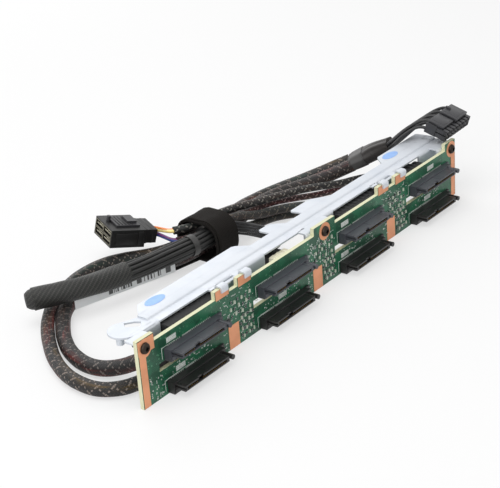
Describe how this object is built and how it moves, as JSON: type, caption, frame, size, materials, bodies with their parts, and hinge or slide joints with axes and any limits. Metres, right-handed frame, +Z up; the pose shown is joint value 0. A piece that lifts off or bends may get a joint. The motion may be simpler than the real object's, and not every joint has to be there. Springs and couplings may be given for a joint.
{
  "type": "drive backplane board",
  "caption": "Long circuit board with two rows of drive receptacles, a folded steel bracket screwed behind it, and a tied harness of braided cables with plugs.",
  "frame": {"origin": "middle of the board and bracket, on the surface that the board's lower edge stands on", "axes": "+X along the board to the end with the power plug, +Y from the receptacles to the cables, +Z up"},
  "size_m": [0.3306, 0.1515, 0.0534],
  "materials": {
    "green_board": "solder resist, satin",
    "copper": "bare copper, satin",
    "black_nylon": "moulded nylon, dark grey",
    "gold_contact": "plated contact",
    "ceramic_chip": "chip capacitor",
    "chip_black": "epoxy",
    "zinc_sheet": "zinc plated sheet",
    "touch_blue": "printed light blue",
    "dark_steel": "blackened screw",
    "cream_nylon": "moulded nylon, cream",
    "braid": "woven polyester braid",
    "wire_black": "wire insulation",
    "wire_colour": "coloured wire insulation",
    "strap": "hook and loop strap",
    "tape": "grey tape",
    "label_white": "printed label",
    "shrink": "heat-shrink tubing"
  },
  "bodies": {
    "root": {"backplane_board": "green_board", "copper_pads": "copper", "receptacle_contacts": "gold_contact", "chip_capacitors": "ceramic_chip", "chip_resistors": "chip_black", "controller_circuits": "chip_black", "mounting_bracket": "zinc_sheet", "touch_marks": "touch_blue", "locating_pin": "zinc_sheet", "board_screws": "dark_steel", "power_header_left": "black_nylon", "power_header_low": "black_nylon", "spare_signal_header": "black_nylon", "fan_header": "cream_nylon", "bus_header": "black_nylon", "sideband_header": "black_nylon", "power_plug_left": "black_nylon", "power_plug_low": "black_nylon", "fan_plug": "black_nylon", "bus_plug": "black_nylon", "sideband_plug": "black_nylon", "hank_sleeve": "braid", "cable_hank": "braid", "power_cable_inner": "braid", "power_cable_outer": "braid", "signal_cable_1": "braid", "signal_cable_2": "braid", "bus_cable_1": "braid", "bus_cable_2": "braid", "fan_wires": "wire_black", "hook_and_loop_tie": "strap", "tape_bands": "tape", "flag_label": "label_white", "heat_shrink_sleeve": "shrink", "dual_plug_housing": "black_nylon", "dual_plug_contacts": "cream_nylon", "dual_plug_latch": "black_nylon", "dual_plug_collar": "black_nylon", "dual_plug_wires": "wire_colour", "power_plug_housing": "black_nylon", "power_plug_terminals": "gold_contact", "power_plug_latch": "black_nylon", "power_plug_wires": "wire_black", "drive_receptacle_1": "black_nylon", "drive_receptacle_2": "black_nylon", "drive_receptacle_3": "black_nylon", "drive_receptacle_4": "black_nylon", "drive_receptacle_5": "black_nylon", "drive_receptacle_6": "black_nylon", "drive_receptacle_7": "black_nylon", "drive_receptacle_8": "black_nylon"}
  },
  "joints": []
}
